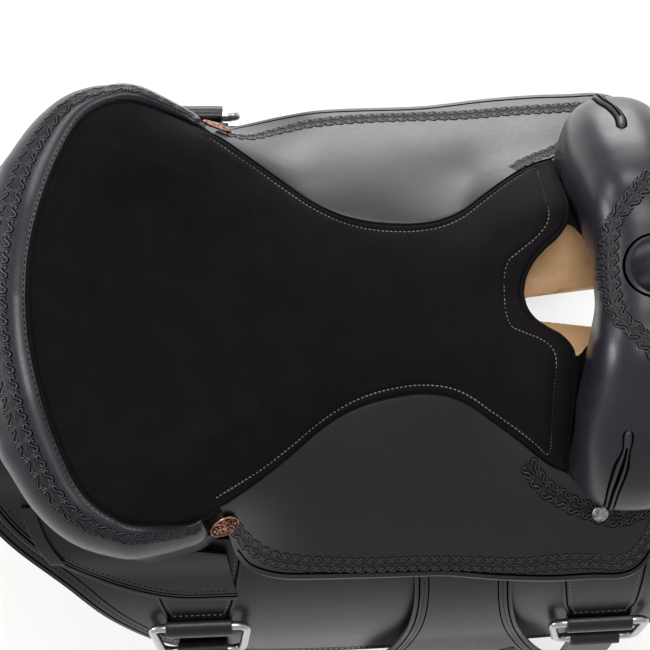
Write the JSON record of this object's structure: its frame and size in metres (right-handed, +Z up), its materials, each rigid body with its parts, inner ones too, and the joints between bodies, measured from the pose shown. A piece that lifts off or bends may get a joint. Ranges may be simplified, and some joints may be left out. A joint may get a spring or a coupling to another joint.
{
  "type": "trail saddle",
  "caption": "Western trail saddle with suede seat, rolled cantle, horn, round skirts, double rigging, fenders and stirrups.",
  "frame": {"origin": "on the horse's spine, under the middle of the seat", "axes": "+X towards the horse's head, +Y towards its near (left) side, +Z up"},
  "size_m": [0.5877, 0.5394, 1.0456],
  "materials": {
    "smooth_leather": "black, dyed and polished",
    "suede": "black roughout, matt",
    "natural_leather": "undyed, oiled",
    "tree_wood": "sealed",
    "fleece_lining": "woolly pile",
    "polished_steel": "polished",
    "antique_copper": "darkened copper plating",
    "tread_rubber": "ribbed, matt"
  },
  "bodies": {
    "saddle": {"bar_near": "tree_wood", "bar_off": "tree_wood", "cantle_back": "smooth_leather", "cantle_board": "tree_wood", "cantle_roll": "smooth_leather", "concho_front_near": "polished_steel", "concho_front_off": "polished_steel", "concho_rear_near": "antique_copper", "concho_rear_off": "antique_copper", "fleece_near": "fleece_lining", "fleece_off": "fleece_lining", "fork": "tree_wood", "front_filler_near": "suede", "front_filler_off": "suede", "ground_seat": "tree_wood", "gullet_lining": "smooth_leather", "horn_cap": "smooth_leather", "horn_neck": "smooth_leather", "keyhole_lining_near": "natural_leather", "keyhole_lining_off": "natural_leather", "latigo_keeper": "smooth_leather", "rear_jockey_near": "smooth_leather", "rear_jockey_off": "smooth_leather", "rig_plate_front_near": "smooth_leather", "rig_plate_front_off": "smooth_leather", "rig_plate_rear_near": "smooth_leather", "rig_plate_rear_off": "smooth_leather", "saddle_string_near": "smooth_leather", "saddle_string_off": "smooth_leather", "seat_jockey_near": "smooth_leather", "seat_jockey_off": "smooth_leather", "seat_pad": "suede", "skirt_near": "smooth_leather", "skirt_off": "smooth_leather", "strap_top_near": "smooth_leather", "strap_top_off": "smooth_leather", "swell_cover": "smooth_leather"},
    "near_fender": {"stirrup_leather_near": "smooth_leather", "fender_near": "smooth_leather", "hobble_strap_near": "smooth_leather"},
    "near_sleeve": {"buckle_sleeve_near": "polished_steel"},
    "near_stirrup": {"stirrup_near": "smooth_leather", "tread_near": "tread_rubber", "stirrup_bolt_near": "polished_steel"},
    "near_front_ring": {"dee_front_near": "polished_steel"},
    "near_rear_ring": {"dee_rear_near": "polished_steel"},
    "off_fender": {"stirrup_leather_off": "smooth_leather", "fender_off": "smooth_leather", "hobble_strap_off": "smooth_leather"},
    "off_sleeve": {"buckle_sleeve_off": "polished_steel"},
    "off_stirrup": {"stirrup_off": "smooth_leather", "tread_off": "tread_rubber", "stirrup_bolt_off": "polished_steel"},
    "off_front_ring": {"dee_front_off": "polished_steel"},
    "off_rear_ring": {"dee_rear_off": "polished_steel"},
    "near_cinch_strap": {"latigo": "smooth_leather"},
    "off_cinch_strap": {"off_billet": "smooth_leather"},
    "near_flank_strap": {"flank_billet_near": "smooth_leather"},
    "off_flank_strap": {"flank_billet_off": "smooth_leather"}
  },
  "joints": [
    {"name": "near_fender_swing", "type": "hinge", "parent": "saddle", "child": "near_fender", "pos_m": [0.088, 0.15045, -0.03493], "axis": [1, 0, 0], "range_deg": [0, 60], "deforming": ["seat_jockey_near"]},
    {"name": "near_sleeve_slide", "type": "slide", "parent": "near_fender", "child": "near_sleeve", "axis": [0, 0, 1], "range_m": [0, 0.022]},
    {"name": "near_stirrup_swing", "type": "hinge", "parent": "near_fender", "child": "near_stirrup", "pos_m": [0.088, 0.23542, -0.64], "axis": [1, 0, 0], "range_deg": [-35, 35]},
    {"name": "near_front_ring_swing", "type": "hinge", "parent": "saddle", "child": "near_front_ring", "pos_m": [0.198, 0.21286, -0.13246], "axis": [0.9996, -0.0209, 0.021], "range_deg": [0, 60]},
    {"name": "near_cinch_strap_swing", "type": "hinge", "parent": "near_front_ring", "child": "near_cinch_strap", "pos_m": [0.198, 0.2198, -0.17996], "axis": [0.9996, -0.0209, 0.021], "range_deg": [0, 60]},
    {"name": "near_rear_ring_swing", "type": "hinge", "parent": "saddle", "child": "near_rear_ring", "pos_m": [-0.12, 0.21125, -0.10289], "axis": [0.9981, -0.0163, -0.0601], "range_deg": [0, 60]},
    {"name": "near_flank_strap_swing", "type": "hinge", "parent": "near_rear_ring", "child": "near_flank_strap", "pos_m": [-0.12, 0.22454, -0.14901], "axis": [0.9981, -0.0163, -0.0601], "range_deg": [0, 60]},
    {"name": "off_fender_swing", "type": "hinge", "parent": "saddle", "child": "off_fender", "pos_m": [0.088, -0.15045, -0.03493], "axis": [-1, 0, 0], "range_deg": [0, 60], "deforming": ["seat_jockey_off"]},
    {"name": "off_sleeve_slide", "type": "slide", "parent": "off_fender", "child": "off_sleeve", "axis": [0, 0, 1], "range_m": [0, 0.022]},
    {"name": "off_stirrup_swing", "type": "hinge", "parent": "off_fender", "child": "off_stirrup", "pos_m": [0.088, -0.23542, -0.64], "axis": [-1, 0, 0], "range_deg": [-35, 35]},
    {"name": "off_front_ring_swing", "type": "hinge", "parent": "saddle", "child": "off_front_ring", "pos_m": [0.198, -0.21286, -0.13246], "axis": [-0.9996, -0.0209, -0.021], "range_deg": [0, 60]},
    {"name": "off_cinch_strap_swing", "type": "hinge", "parent": "off_front_ring", "child": "off_cinch_strap", "pos_m": [0.198, -0.2198, -0.17996], "axis": [-0.9996, -0.0209, -0.021], "range_deg": [0, 60]},
    {"name": "off_rear_ring_swing", "type": "hinge", "parent": "saddle", "child": "off_rear_ring", "pos_m": [-0.12, -0.21125, -0.10289], "axis": [-0.9981, -0.0163, 0.0601], "range_deg": [0, 60]},
    {"name": "off_flank_strap_swing", "type": "hinge", "parent": "off_rear_ring", "child": "off_flank_strap", "pos_m": [-0.12, -0.22454, -0.14901], "axis": [-0.9981, -0.0163, 0.0601], "range_deg": [0, 60]}
  ]
}
